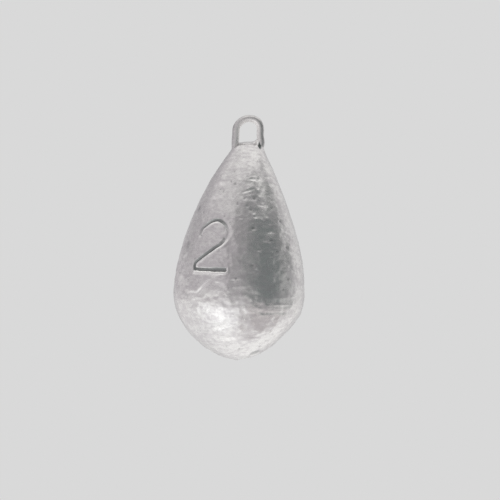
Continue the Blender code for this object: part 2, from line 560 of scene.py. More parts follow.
SCUFF_TIP = 0.02  # share of its length at either end over which it no longer tapers
SCUFF_LIP = 0.35  # height of the lead pushed up beside a scuff, against its depth
SCUFF_LIP_PLACE, SCUFF_LIP_WIDTH = 1.7, 0.8  # of that lead, in half widths of the scuff
SCUFF_SHINE = 0.6


def sink_hollow(drop, lift, grime_and_shade, rub_and_sheen, place, radius, depth, stain):
    """A round hollow stained with oxide, or a bright blister where the depth is negative."""
    near = np.abs(drop.place - place).max(-1) < HOLLOW_REACH * radius
    distance = np.sqrt(((drop.place[near] - place) ** 2).sum(-1))
    shape = np.exp(-((distance / radius) ** 2) * HOLLOW_STEEPNESS)
    lift[near] -= depth * shape
    mask = grime_and_shade if depth > 0 else rub_and_sheen
    strength = min(MOST_STAIN, stain * abs(depth) / radius)
    mask[near] = np.maximum(mask[near], strength * shape**2)


def sink_hollows(drop, lift, grime_and_shade, rub_and_sheen):
    """The listed hollows and blisters, and loose pits all over."""
    for azimuth, height, radius, depth in HOLLOWS:
        place = drop.at(azimuth, height * MM)
        sink_hollow(drop, lift, grime_and_shade, rub_and_sheen, place, radius * MM, depth * MM, HOLLOW_STAIN)
    rng = random.Random(LOOSE_PIT_SEED)
    for _ in range(LOOSE_PITS):
        place = drop.at(rng.uniform(-180, 180), rng.uniform(*LOOSE_PIT_HEIGHTS) * MM)
        radius = rng.uniform(*LOOSE_PIT_RADII) * MM
        depth = radius * rng.uniform(*LOOSE_PIT_DEPTHS)
        sink_hollow(drop, lift, grime_and_shade, rub_and_sheen, place, radius, depth, LOOSE_PIT_STAIN)


def draw_scuffs(drop, lift, rub_and_sheen):
    """Short scratches that taper at both ends, with a little lead pushed up beside them."""
    for azimuth, height, end_azimuth, end_height, half_mm, depth in SCUFFS:
        half = half_mm * MM
        run = np.array(
            [
                drop.at(
                    azimuth + share * (end_azimuth - azimuth),
                    (height + share * (end_height - height)) * MM,
                )
                for share in np.linspace(0, 1, SCUFF_POINTS)
            ]
        )
        low, high = run.min(0) - SCUFF_MARGIN, run.max(0) + SCUFF_MARGIN
        near = ((drop.place > low) & (drop.place < high)).all(-1)
        distance, _, progress = nearest_on_run(drop.place[near], run)
        taper = np.sqrt(np.sin(np.clip(progress, SCUFF_TIP, 1 - SCUFF_TIP) * math.pi))
        groove = bump_at(distance, 0, half) * taper
        lip = bump_at(distance, SCUFF_LIP_PLACE * half, SCUFF_LIP_WIDTH * half) * taper
        lift[near] += depth * MM * (SCUFF_LIP * lip - groove)
        rub_and_sheen[near] = np.maximum(rub_and_sheen[near], SCUFF_SHINE * np.maximum(groove, lip))


# ---------------------------------------------------------------- the casting's own shape
# Long waves and fine ones: share of the waviness, wavelength in millimetres, seed, and how many
# times closer the waves lie along each axis.
LONG_WAVES = [(1.0, 5.0, 3.1, (1, 1, 1))]
FINE_WAVES = [
    (0.84, 1.3, 7.7, (1, 1, 1)),
    (0.28, 0.6, 1.3, (1, 1, 1)),
    (0.26, 2.2, 5.9, (0.35, 0.35, 2.4)),
]
WAVE_FALLOFF, WAVE_STEP, WAVE_OCTAVES = 0.9, 2.1, 2
CALM_HEIGHTS = (15 * MM, 24 * MM)  # over which the fine waves lose the next share of their height
CALM_SHARE = 0.6
SEAM_HALF_WIDTH = 0.085 * MM
SEAM_STEP = 0.02 * MM  # by which one half of the mould stood out from the other
SEAM_STEP_WIDTH = 0.08 * MM
SEAM_STEP_FADE = (1.5 * MM, 0.2 * MM)  # from the seam, where the step has gone and is whole
SEAM_GAPS = (3.2 * MM, 9.4)  # wavelength and seed of the ridge's breaks
SEAM_GAP_SHARPNESS = 3
SEAM_MEAN, SEAM_CHANGE = 0.62, 0.38  # of the ridge's height along it
SEAM_SHINE = 0.4
NECK_LEAN = 0.26 * MM  # of the crown to the right
NECK_LENGTH = 8  # of the part that leans, in millimetres below the crown
FLAT_DEPTH = 0.34 * MM  # of the flattened lower right
FLAT_AZIMUTHS = (88, 42)  # middle and spread
FLAT_HEIGHTS = (3.6 * MM, 2.9 * MM)
NICK_PLACE = (2.7, 1.2)  # where the runner was cut off, from the axis and above the point, mm
NICK_RADIUS = 1.05 * MM
NICK_FLOOR = 0.45  # share of that radius which is cut to the full depth
NICK_DEPTH = 0.16 * MM
NICK_TEAR = 0.3  # unevenness of the cut, as a share of its depth
NICK_GRAIN = (0.5 * MM, 2.2)  # wavelength and seed of the tear
NICK_GRIME = 0.45
ROOT_RISES = (0.22 * MM, 0.75 * MM)  # of the lead drawn up the left and right legs
ROOT_REACHES = (0.20 * MM, 0.36 * MM)
ROOT_START = 0.95 * WIRE_RADIUS  # from a leg's middle, where the drawn lead starts to fall away
ROOT_FADE = (-4 * MM, -2.5 * MM)  # from the crown, over which the lead starts to rise
ROOT_HOLLOW = (-0.12, -0.80, -0.86)  # from the right leg at the crown, in mm
ROOT_HOLLOW_RADIUS = 0.32 * MM
ROOT_HOLLOW_DEPTH = 0.30 * MM
ROOT_SHADE_EDGE = (0.15, 0.6)  # share of that depth at which the painted shade of the crevice begins, and is full
POINT_TIP = 0.02 * MM  # of the lowest point below the lowest ring
CROWN_TIP = 0.003 * MM  # of the top point above the highest ring


def leg_places(eye):
    """Where the two legs stand, across the front."""
    return eye.shift - eye.leg_reach, eye.shift + eye.leg_reach


def wave(places, wavelength, seed, closer=(1, 1, 1)):
    """Fractal noise at the places, about -1 to 1, with its waves closer along some axes."""
    flat = (places.reshape(-1, 3) / wavelength * np.array(closer)).tolist()
    values = [
        noise.fractal(
            (x + seed, y - seed, z + 2 * seed), WAVE_FALLOFF, WAVE_STEP, WAVE_OCTAVES
        )
        for x, y, z in flat
    ]
    return np.array(values).reshape(places.shape[:-1])


def layered(places, layers):
    """The sum of layers of waves."""
    return sum(
        share * wave(places, wavelength * MM, seed, closer)
        for share, wavelength, seed, closer in layers
    )


def cast_unevenly(drop, settings, lift):
    """The shallow waves, ripples and orange peel of a small casting, smoother towards the crown."""
    lift += settings.waviness * layered(drop.place, LONG_WAVES)
    rough = 1 - CALM_SHARE * smoothstep(*CALM_HEIGHTS, drop.height)
    lift += settings.waviness * layered(drop.place, FINE_WAVES) * rough


def leave_seam(drop, settings, lift, rub_and_sheen):
    """A broken ridge and a faint step where the mould's halves met, in the plane of the wire."""
    behind = drop.place[..., 1]
    ridge = bump_at(behind, 0, SEAM_HALF_WIDTH)
    along = np.tanh(SEAM_GAP_SHARPNESS * wave(drop.place, *SEAM_GAPS))
    ridge *= SEAM_MEAN + SEAM_CHANGE * along
    step = np.tanh(behind / SEAM_STEP_WIDTH) * smoothstep(*SEAM_STEP_FADE, np.abs(behind))
    lift += settings.seam_height * ridge + SEAM_STEP * step
    np.maximum(rub_and_sheen, SEAM_SHINE * ridge, out=rub_and_sheen)


def flatten_side(drop, lift):
    """The lower right, which is flatter than the rest."""
    facing = bump_at(np.degrees(drop.azimuth), *FLAT_AZIMUTHS)
    lift -= FLAT_DEPTH * facing * bump_at(drop.height, *FLAT_HEIGHTS)


def cut_runner(drop, lift, grime_and_shade):
    """The dull, torn patch beside the point where the runner was cut off."""
    place = drop.on_front(NICK_PLACE[0] * MM, NICK_PLACE[1] * MM)
    distance = np.sqrt(((drop.place - place) ** 2).sum(-1))
    shape = smoothstep(NICK_RADIUS, NICK_FLOOR * NICK_RADIUS, distance)
    torn = 1 + NICK_TEAR * wave(drop.place, *NICK_GRAIN)
    lift -= NICK_DEPTH * shape * torn
    np.maximum(grime_and_shade, NICK_GRIME * shape, out=grime_and_shade)


def draw_up_roots(places, eye):
    """Lead drawn up each leg, most up the right one."""
    near_top = smoothstep(*ROOT_FADE, places[..., 2] - CROWN_Z)
    for across, rise, reach in zip(leg_places(eye), ROOT_RISES, ROOT_REACHES):
        apart = np.hypot(places[..., 0] - across, places[..., 1])
        past = np.maximum(apart - ROOT_START, 0)
        places[..., 2] += rise * np.exp(-past / reach) * near_top


def sink_root(drop, eye, lift, grime_and_shade):
    """A shrinkage hollow at the foot of the right leg, painted dark as the shade in the crevice between
    the leg and the lead.
    """
    place = np.array([leg_places(eye)[1], 0, CROWN_Z]) + np.array(ROOT_HOLLOW) * MM
    distance = np.sqrt(((drop.place - place) ** 2).sum(-1))
    shape = np.exp(-((distance / ROOT_HOLLOW_RADIUS) ** 2))
    lift -= ROOT_HOLLOW_DEPTH * shape
    np.maximum(grime_and_shade, smoothstep(*ROOT_SHADE_EDGE, shape), out=grime_and_shade)


# ---------------------------------------------------------------- meshes
def grid_faces(rows, columns):
    """Quads of a tube of rings, and fans to a first and a last point, wound to face out."""
    index = np.arange(rows * columns).reshape(rows, columns) + 1
    after = np.roll(index, -1, axis=1)
    quads = np.stack([index[:-1], after[:-1], after[1:], index[1:]], -1).reshape(-1, 4)
    last = rows * columns + 1
    bottom = [(0, int(b), int(a)) for a, b in zip(index[0], after[0])]
    top = [(last, int(a), int(b)) for a, b in zip(index[-1], after[-1])]
    return [*bottom, *quads.tolist(), *top]


def add_piece(name, mesh, material, node):
    """A piece of the bob that stands for one CAD node."""
    piece = bpy.data.objects.new(name, mesh)
    bpy.context.scene.collection.objects.link(piece)
    mesh.materials.append(material)
    mesh.shade_smooth()
    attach(piece, "root")
    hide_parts(node)
    return piece


def store_mask(mesh, name, values):
    """A value for each point that the material reads."""
    layer = mesh.attributes.new(name, "FLOAT", "POINT")
    layer.data.foreach_set("value", np.asarray(values, np.float32))


def drop_mesh(settings, eye):
    """The cast drop with all its marks, and masks of grime and painted shade, and of rubbed lead and
    painted highlights.
    """
    drop = PlainDrop(settings)
    lift = np.zeros_like(drop.azimuth)
    grime_and_shade = np.zeros_like(lift)
    rub_and_sheen = np.zeros_like(lift)
    cast_unevenly(drop, settings, lift)
    flatten_side(drop, lift)
    cut_runner(drop, lift, grime_and_shade)
    leave_seam(drop, settings, lift, rub_and_sheen)
    sink_root(drop, eye, lift, grime_and_shade)
    sink_hollows(drop, lift, grime_and_shade, rub_and_sheen)
    draw_scuffs(drop, lift, rub_and_sheen)
    press_mark(drop, settings, lift, grime_and_shade, rub_and_sheen)
    places = drop.place + drop.normal * lift[..., None]
    below_crown = (CROWN_Z - places[..., 2]) / MM
    places[..., 0] += NECK_LEAN * smoothstep(NECK_LENGTH, 0, below_crown)
    draw_up_roots(places, eye)
    first = places[0].mean(0) - np.array([0, 0, POINT_TIP])
    last = places[-1].mean(0) + np.array([0, 0, CROWN_TIP])
    points = [first.tolist(), *places.reshape(-1, 3).tolist(), last.tolist()]
    mesh = bpy.data.meshes.new("lead_drop")
    mesh.from_pydata(points, [], grid_faces(*lift.shape))
    mesh.update()
    for name, mask in (("grime_and_shade", grime_and_shade), ("rub_and_sheen", rub_and_sheen)):
        flat = mask.ravel()
        store_mask(mesh, name, [flat[0], *flat, flat[-1]])
    return mesh


# ---------------------------------------------------------------- the wire
LEG_DEPTH = 6.6 * MM  # of the straight legs below the crown
HOOK_RADIUS = 1.3 * MM
HOOK_TURN = math.radians(65)
HOOK_LENGTH = 1.0 * MM
HOOK_STEPS = 8
LEG_STEPS = 25
ARCH_STEPS = 40
ARCH_SQUARENESS = (1.06, 0.86)  # of the left and right halves: 1 is round, less is squarer
ARCH_LEAN = 0.12 * MM  # of the top of the arch to the right
LEG_FLARES = (-0.03 * MM, 0.20 * MM)  # of the legs to the right, just above the lead
FLARE_REACH = 0.55 * MM
WIRE_SIDES = 20
WELD_DISTANCE = 1e-6
# How much the inward sides of the wire are painted paler, as a painted sheen and the line's rubbing
RUB_SIDEWAYS = 0.5  # where the wire faces neither into the eye nor out of it
RUB_FACING = 0.75  # more where it faces in, and less where it faces out
DENT_SPACING = 1.5 * MM
DENT_DEPTH = 0.02 * MM


def wire_line(eye):
    """The centre line in the XZ plane: left hook, left leg, arch, right leg, right hook."""
    left, right = leg_places(eye)
    middle, reach = (left + right) / 2, (right - left) / 2
    spring = eye.wire_radius - reach

    def hook(side, leg):
        points = []
        for i in range(HOOK_STEPS + 1):
            turn = HOOK_TURN * (1 - i / HOOK_STEPS)
            x = leg + side * HOOK_RADIUS * (1 - math.cos(turn))
            points.append((x, CROWN_Z - LEG_DEPTH - HOOK_RADIUS * math.sin(turn)))
        end_x = points[0][0] + side * HOOK_LENGTH * math.sin(HOOK_TURN)
        end_z = points[0][1] - HOOK_LENGTH * math.cos(HOOK_TURN)
        return [(end_x, end_z), *points]

    def leg(across, flare):
        heights = np.linspace(CROWN_Z - LEG_DEPTH, spring, LEG_STEPS + 1)[1:-1]
        lean = flare * bump_at(heights, CROWN_Z, FLARE_REACH)
        return [(across + d, z) for d, z in zip(lean, heights)]

    arch = []
    for i in range(ARCH_STEPS + 1):
        turn = math.pi * (1 - i / ARCH_STEPS)
        squareness = ARCH_SQUARENESS[turn < math.pi / 2]
        cosine, sine = math.cos(turn), math.sin(turn)
        x = middle + reach * math.copysign(abs(cosine) ** squareness, cosine)
        arch.append((x + ARCH_LEAN * sine**2, spring + reach * sine**squareness))
    return [
        *hook(-1, left),
        *leg(left, LEG_FLARES[0]),
        *arch,
        *reversed(leg(right, LEG_FLARES[1])),
        *reversed(hook(1, right)),
    ]


def wire_mesh(eye):
    """The wire swept along its line, as a curve made into a closed mesh."""
    curve = bpy.data.curves.new("wire_line", "CURVE")
    curve.dimensions = "3D"
    curve.bevel_depth = eye.wire_radius
    curve.bevel_resolution = WIRE_SIDES // 2 - 2
    curve.use_fill_caps = True
    line = wire_line(eye)
    spline = curve.splines.new("POLY")
    spline.points.add(len(line) - 1)
    for point, (x, z) in zip(spline.points, line):
        point.co = (x, 0, z, 1)
    guide = bpy.data.objects.new("wire_line", curve)
    bpy.context.scene.collection.objects.link(guide)
    bpy.context.view_layer.update()
    shown = guide.evaluated_get(bpy.context.evaluated_depsgraph_get())
    mesh = bpy.data.meshes.new_from_object(shown)
    bpy.data.objects.remove(guide)
    shape = bmesh.new()
    shape.from_mesh(mesh)
    bmesh.ops.remove_doubles(shape, verts=shape.verts, dist=WELD_DISTANCE)
    bmesh.ops.recalc_face_normals(shape, faces=shape.faces)
    spring = eye.wire_radius - eye.leg_reach
    # A mask that is high on the sides facing into the eye: a painted sheen there, with the line's rubbing
    # where it bears
    worn_and_sheen = []
    for vert in shape.verts:
        inward = Vector((eye.shift - vert.co.x, 0, min(spring - vert.co.z, 0))).normalized()
        rub_and_sheen = RUB_SIDEWAYS + RUB_FACING * inward.dot(vert.normal)
        worn_and_sheen.append(min(max(rub_and_sheen, 0), 1))
        dent = noise.fractal(vert.co / DENT_SPACING, 1.0, 2.0, 1)
        vert.co += vert.normal * dent * DENT_DEPTH
    shape.to_mesh(mesh)
    shape.free()
    mesh.name = "eye_wire"
    store_mask(mesh, "rub_and_sheen", worn_and_sheen)
    return mesh


# ---------------------------------------------------------------- node helpers
COLOR_MIX_INPUTS = (0, 6, 7)  # the factor and the two colours among a Mix node's sockets
COLOR_MIX_OUTPUT = 2


def link(tree, source, target):
    tree.links.new(source, target)


def feed(tree, socket, value):
    """Links a node's output to the socket, or gives it a number or a colour."""
    if isinstance(value, bpy.types.NodeSocket):
        link(tree, value, socket)
    elif isinstance(value, (int, float)):
        socket.default_value = value
    else:
        socket.default_value = (*value, 1.0)


def new_group(name, inputs, outputs):
    """An empty shader node group with float, colour or vector sockets."""
    group = bpy.data.node_groups.new(name, "ShaderNodeTree")
    for label, kind, default in inputs:
        socket = group.interface.new_socket(label, in_out="INPUT", socket_type=kind)
        socket.default_value = default
    for label, kind in outputs:
        group.interface.new_socket(label, in_out="OUTPUT", socket_type=kind)
    return group, group.nodes.new("NodeGroupInput"), group.nodes.new("NodeGroupOutput")


def math_node(tree, operation, *values, clamp=False):
    node = tree.nodes.new("ShaderNodeMath")
    node.operation = operation
    node.use_clamp = clamp
    for socket, value in zip(node.inputs, values):
        feed(tree, socket, value)
    return node.outputs[0]


def noise_node(tree, coordinates, scale, detail, roughness):
    node = tree.nodes.new("ShaderNodeTexNoise")
    names = ("Vector", "Scale", "Detail", "Roughness")
    for name, value in zip(names, (coordinates, scale, detail, roughness)):
        feed(tree, node.inputs[name], value)
    return node.outputs["Fac"]


def ramp_node(tree, value, low, high, to_low=0.0, to_high=1.0, smooth=True):
    node = tree.nodes.new("ShaderNodeMapRange")
    node.interpolation_type = "SMOOTHSTEP" if smooth else "LINEAR"
    names = ("Value", "From Min", "From Max", "To Min", "To Max")
    for name, given in zip(names, (value, low, high, to_low, to_high)):
        feed(tree, node.inputs[name], given)
    return node.outputs["Result"]


def mix_node(tree, factor, first, second):
    node = tree.nodes.new("ShaderNodeMix")
    node.data_type = "RGBA"
    for index, value in zip(COLOR_MIX_INPUTS, (factor, first, second)):
        feed(tree, node.inputs[index], value)
    return node.outputs[COLOR_MIX_OUTPUT]


def scaled_position(tree):
    """Object coordinates in millimetres."""
    source = tree.nodes.new("ShaderNodeTexCoord")
    scale = tree.nodes.new("ShaderNodeVectorMath")
    scale.operation = "SCALE"
    scale.inputs["Scale"].default_value = 1 / MM
    link(tree, source.outputs["Object"], scale.inputs[0])
    return scale.outputs[0]


# ---------------------------------------------------------------- effects shared by the materials
PIT_EDGE = (0.42, 0.30)  # noise at which a pit of the grain begins, and is full
LOW_SPOT_EDGE = (0.5, 0.3)
FILM_STRETCH = (1.0, 1.0, 1.8)  # clouds of film are this much closer from top to bottom
SPECKLE_SCALE = 4.5  # of the film's speckle, against its clouds
SPECKLE_SHARE = 0.9
FILM_EDGE = (0.73, 1.17)  # clouds and speckle at which the film begins, and is full


def metal_grain_group():
    """Fine grain with soft pits: a height to bump with, and a mask of the grain's low spots."""
    found = bpy.data.node_groups.get("Metal grain")
    if found:
        return found
    group, given, result = new_group(
        "Metal grain",
        [
            ("Position", "NodeSocketVector", (0, 0, 0)),
            ("Grain Scale", "NodeSocketFloat", 5.0),
            ("Pit Scale", "NodeSocketFloat", 2.0),
            ("Pit Depth", "NodeSocketFloat", 0.5),
        ],
        [("Height", "NodeSocketFloat"), ("Low Spots", "NodeSocketFloat")],
    )
    place = given.outputs["Position"]
    grain_scale, pit_scale = given.outputs["Grain Scale"], given.outputs["Pit Scale"]
    grain = noise_node(group, place, grain_scale, detail=2.0, roughness=0.55)
    pits = noise_node(group, place, pit_scale, detail=2.0, roughness=0.5)
    pit_mask = ramp_node(group, pits, *PIT_EDGE)
    deep = math_node(group, "MULTIPLY", pit_mask, given.outputs["Pit Depth"])
    link(group, math_node(group, "SUBTRACT", grain, deep), result.inputs["Height"])
    low = ramp_node(group, grain, *LOW_SPOT_EDGE)
    low = math_node(group, "ADD", pit_mask, low, clamp=True)
    link(group, low, result.inputs["Low Spots"])
    return group


def dulled_film_group():
    """Cloudy film over bare metal: the mixed colour, and how much film there is."""
    found = bpy.data.node_groups.get("Dulled film")
    if found:
        return found
    group, given, result = new_group(
        "Dulled film",
        [
            ("Position", "NodeSocketVector", (0, 0, 0)),
            ("Metal", "NodeSocketColor", (0.6, 0.6, 0.6, 1)),
            ("Film", "NodeSocketColor", (0.4, 0.4, 0.4, 1)),
            ("Cloud Scale", "NodeSocketFloat", 0.4),
            ("Rubbed", "NodeSocketFloat", 0.0),
        ],
        [("Color", "NodeSocketColor"), ("Amount", "NodeSocketFloat")],
    )
    streak = group.nodes.new("ShaderNodeVectorMath")
    streak.operation = "MULTIPLY"
    streak.inputs[1].default_value = FILM_STRETCH
    link(group, given.outputs["Position"], streak.inputs[0])
    place = streak.outputs[0]
    cloud_scale = given.outputs["Cloud Scale"]
    clouds = noise_node(group, place, cloud_scale, detail=3.5, roughness=0.6)
    fine_scale = math_node(group, "MULTIPLY", cloud_scale, SPECKLE_SCALE)
    speckle = noise_node(group, place, fine_scale, detail=1.5, roughness=0.5)
    speckle = math_node(group, "MULTIPLY", speckle, SPECKLE_SHARE)
    both = math_node(group, "ADD", clouds, speckle)
    amount = ramp_node(group, both, *FILM_EDGE)
    bare = math_node(group, "SUBTRACT", 1.0, given.outputs["Rubbed"], clamp=True)
    amount = math_node(group, "MULTIPLY", amount, bare)
    color = mix_node(group, amount, given.outputs["Metal"], given.outputs["Film"])
    link(group, color, result.inputs["Color"])
    link(group, amount, result.inputs["Amount"])
    return group


def place_group(tree, group, **values):
    """Places a group in the tree, its inputs fed by name, and returns its outputs."""
    node = tree.nodes.new("ShaderNodeGroup")
    node.node_tree = group
    for name, value in values.items():
        feed(tree, node.inputs[name.replace("_", " ").title()], value)
    return node.outputs


def bumped(tree, height, distance):
    node = tree.nodes.new("ShaderNodeBump")
    node.inputs["Distance"].default_value = distance
    link(tree, height, node.inputs["Height"])
    return node.outputs["Normal"]


def attribute(tree, name):
    node = tree.nodes.new("ShaderNodeAttribute")
    node.attribute_name = name
    return node.outputs["Fac"]


def new_metal(name):
    material = bpy.data.materials.new(name)
    material.use_nodes = True
    tree = material.node_tree
    shader = tree.nodes["Principled BSDF"]
    shader.inputs["Metallic"].default_value = 1.0
    return material, tree, shader


# ---------------------------------------------------------------- materials
LEAD_ROUGHNESS = (0.22, 0.33)  # bare and under full film
LEAD_GRIME_AND_SHADE_ROUGHNESS = 0.25  # added under the grime and the painted shade
LEAD_GRAIN_STAIN = 0.08  # of the grain's low spots
LEAD_GRAIN_HEIGHT = 0.016 * MM
WIRE_ROUGHNESS = (0.26, 0.40)
WIRE_WORN_AND_SHEEN_ROUGHNESS = 0.12  # added on the eye's inner sides, where the sheen is painted and the line has rubbed
WIRE_WORN_AND_SHEEN_COLOR = 0.8  # share of the worn and sheen colour there
WIRE_WORN_AND_SHEEN_DULLING = 0.6  # share of the metal's mirror that is lost there
WIRE_STAIN_COLOR = (0.2, 0.2, 0.2)
WIRE_GRAIN_STAIN = 0.2
WIRE_GRAIN_HEIGHT = 0.012 * MM


def cast_lead(settings):
    """Soft grey lead as cast: cloudy film, fine grain, dark hollows and rubbed high spots, with painted
    shade in the numeral's groove and at the right leg's foot and a painted highlight beside the numeral.
    """
    material, tree, shader = new_metal("cast_lead")
    place = scaled_position(tree)
    grime_and_shade = attribute(tree, "grime_and_shade")
    rub_and_sheen = attribute(tree, "rub_and_sheen")
    grain = place_group(
        tree, metal_grain_group(), position=place, grain_scale=2.1, pit_scale=1.1, pit_depth=0.5
    )
    film = place_group(
        tree,
        dulled_film_group(),
        position=place,
        metal=settings.lead_color,
        film=settings.oxide_color,
        cloud_scale=0.33,
        rubbed=rub_and_sheen,
    )
    low = math_node(tree, "MULTIPLY", grain["Low Spots"], LEAD_GRAIN_STAIN)
    dark = math_node(tree, "MAXIMUM", low, grime_and_shade)
    # Rubbed lead, and the painted highlight along the numeral's open side
    color = mix_node(tree, rub_and_sheen, film["Color"], settings.rubbed_and_sheen_color)
    # Grime, and the painted shade in the numeral's groove and at the right leg's foot
    color = mix_node(tree, dark, color, settings.grime_and_shade_color)
    link(tree, color, shader.inputs["Base Color"])
    roughness = ramp_node(tree, film["Amount"], 0.0, 1.0, *LEAD_ROUGHNESS, smooth=False)
    dulling = math_node(tree, "MULTIPLY", dark, LEAD_GRIME_AND_SHADE_ROUGHNESS)
    link(tree, math_node(tree, "ADD", roughness, dulling), shader.inputs["Roughness"])
    link(tree, bumped(tree, grain["Height"], LEAD_GRAIN_HEIGHT), shader.inputs["Normal"])
    return material


def tinned_wire(eye):
    """Bright drawn wire, a little dulled, with the faint grain of its tinning."""
    material, tree, shader = new_metal("tinned_wire")
    place = scaled_position(tree)
    grain = place_group(
        tree, metal_grain_group(), position=place, grain_scale=6.0, pit_scale=2.6, pit_depth=0.3
    )
    rub_and_sheen = attribute(tree, "rub_and_sheen")
    film = place_group(
        tree,
        dulled_film_group(),
        position=place,
        metal=eye.wire_color,
        film=eye.film_color,
        cloud_scale=0.9,
        rubbed=rub_and_sheen,
    )
    low = math_node(tree, "MULTIPLY", grain["Low Spots"], WIRE_GRAIN_STAIN)
    color = mix_node(tree, low, film["Color"], WIRE_STAIN_COLOR)
    # Paler and duller on every side facing into the eye: a painted sheen, with the line's rubbing where
    # it bears
    worn_and_sheen = math_node(tree, "MULTIPLY", rub_and_sheen, WIRE_WORN_AND_SHEEN_COLOR)
    color = mix_node(tree, worn_and_sheen, color, eye.worn_and_sheen_color)
    link(tree, color, shader.inputs["Base Color"])
    roughness = ramp_node(tree, film["Amount"], 0.0, 1.0, *WIRE_ROUGHNESS, smooth=False)
    scratched = math_node(tree, "MULTIPLY", rub_and_sheen, WIRE_WORN_AND_SHEEN_ROUGHNESS)
    link(tree, math_node(tree, "ADD", roughness, scratched), shader.inputs["Roughness"])
    lost = math_node(tree, "MULTIPLY", rub_and_sheen, WIRE_WORN_AND_SHEEN_DULLING)
    link(tree, math_node(tree, "SUBTRACT", 1.0, lost), shader.inputs["Metallic"])
    link(tree, bumped(tree, grain["Height"], WIRE_GRAIN_HEIGHT), shader.inputs["Normal"])
    return material


# ---------------------------------------------------------------- the studio
# Soft panels round the bob, in degrees: azimuth, half width, elevation, half height, softness,
# how much of the panel's colour shows, and that colour.
PANELS = {
    "left": (-85, 88, 16, 24, 13, 0.88, (0.60, 0.57, 0.59)),
    "far_left": (-132, 30, 16, 10, 10, 0.6, (0.46, 0.45, 0.46)),
    "upper_left": (-45, 54, 49, 10, 12, 0.66, (0.58, 0.56, 0.57)),
    "left_flank": (-75, 14, -13, 9, 8, 0.65, (0.64, 0.62, 0.63)),
    "right": (142, 50, 12, 24, 16, 0.75, (0.74, 0.73, 0.73)),
    "ground": (0, 400, -80, 44, 14, 0.9, (1.16, 1.15, 1.14)),
    "low_right": (52, 46, -48, 28, 14, 0.85, (0.63, 0.59, 0.59)),
    "low_middle": (14, 18, -26, 13, 9, 0.6, (0.50, 0.48, 0.48)),
    "low_far_left": (-122, 34, -42, 22, 14, 0.7, (0.92, 0.91, 0.91)),
    "low_left": (-42, 42, -48, 24, 16, 0.8, (1.22, 1.22, 1.22)),
    "upper_middle": (18, 39, 43, 12, 7, 0.86, (0.27, 0.265, 0.27)),
    "dark_upper": (65, 35, 29, 15, 6, 0.92, (0.235, 0.24, 0.24)),
    "dark_near": (27, 21, 21, 26, 8, 0.91, (0.25, 0.26, 0.26)),
    "dark_fringe": (83, 25, 5, 28, 9, 0.66, (0.24, 0.25, 0.25)),
    "dark_far": (53, 23, 5, 29, 10, 0.96, (0.21, 0.23, 0.23)),
    "middle": (-5, 16, 12, 30, 14, 0.66, (0.30, 0.29, 0.30)),
    "rear": (180, 24, 5, 40, 14, 0.6, (0.45, 0.45, 0.46)),
}
PANEL_RAG = math.radians(9)  # by which the panels' edges wander
PANEL_RAG_SCALE = 3.2
PANEL_RAG_SPAN = (0.25, 0.75)  # of the noise from one end of the wandering to the other
SURROUND_COLOR = (1.06, 1.045, 1.03)
FLOOR_HALF_WIDTH = 20
LAMP_SIZE = 0.13
LAMP_DISTANCE = 0.24
LAMP_TOWARDS = (-42, -44)  # azimuth and elevation from the bob, in degrees
LENS = 120
SENSOR_WIDTH = 36
NEAREST_SEEN, FARTHEST_SEEN = 0.005, 100
AIM_OFFSET = Vector((1.28 * MM, 0, -1.72 * MM))  # of the view's centre from the bob's middle


def soft_panel_group():
    """How much of a soft-edged panel lies in a direction. Angles are in radians."""
    found = bpy.data.node_groups.get("Soft panel")
    if found:
        return found
    group, given, result = new_group(
        "Soft panel",
        [
            ("Direction Azimuth", "NodeSocketFloat", 0.0),
            ("Direction Elevation", "NodeSocketFloat", 0.0),
            ("Azimuth", "NodeSocketFloat", 0.0),
            ("Half Width", "NodeSocketFloat", 0.5),
            ("Elevation", "NodeSocketFloat", 0.0),
            ("Half Height", "NodeSocketFloat", 0.5),
            ("Softness", "NodeSocketFloat", 0.2),
        ],
        [("Amount", "NodeSocketFloat")],
    )
    out = given.outputs

    def edge(apart, half):
        near = math_node(group, "SUBTRACT", half, out["Softness"])
        far = math_node(group, "ADD", half, out["Softness"])
        return ramp_node(group, math_node(group, "ABSOLUTE", apart), far, near)

    turn = math_node(group, "SUBTRACT", out["Direction Azimuth"], out["Azimuth"])
    turn = math_node(group, "WRAP", turn, math.pi, -math.pi)
    rise = math_node(group, "SUBTRACT", out["Direction Elevation"], out["Elevation"])
    across = edge(turn, out["Half Width"])
    upright = edge(rise, out["Half Height"])
    link(group, math_node(group, "MULTIPLY", across, upright), result.inputs["Amount"])
    return group


